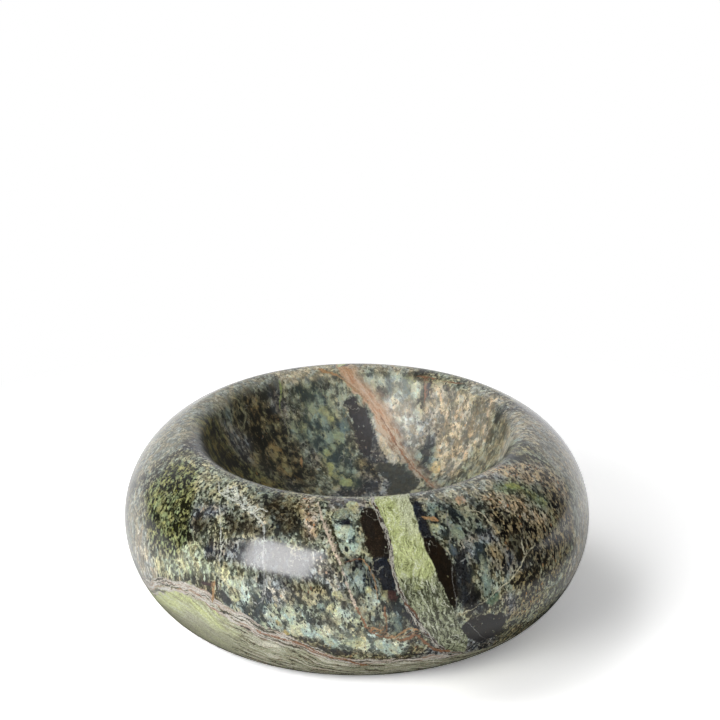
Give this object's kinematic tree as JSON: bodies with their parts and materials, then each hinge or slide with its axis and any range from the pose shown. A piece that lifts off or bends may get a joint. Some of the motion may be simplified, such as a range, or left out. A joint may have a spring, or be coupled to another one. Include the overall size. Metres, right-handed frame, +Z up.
{
  "type": "ring dish",
  "caption": "Round thick-walled ring dish of satin-polished green marble, with a bulging outside, a rounded rim and a deep bowl, standing on low stick-on feet.",
  "frame": {"origin": "on the turning axis, at the surface that the feet stand on", "axes": "+Z up along the turning axis, out of the bowl's mouth; -Y is the front in the picture"},
  "size_m": [0.11, 0.11, 0.0455],
  "materials": {
    "marble": "satin polish",
    "foot_rubber": "matte",
    "foot_adhesive": "matte"
  },
  "bodies": {
    "root": {"stone_bowl": "marble", "foot_front_right": "foot_rubber", "foot_rear_right": "foot_rubber", "foot_rear_left": "foot_rubber", "foot_front_left": "foot_rubber", "adhesive_front_right": "foot_adhesive", "adhesive_rear_right": "foot_adhesive", "adhesive_rear_left": "foot_adhesive", "adhesive_front_left": "foot_adhesive"}
  },
  "joints": []
}
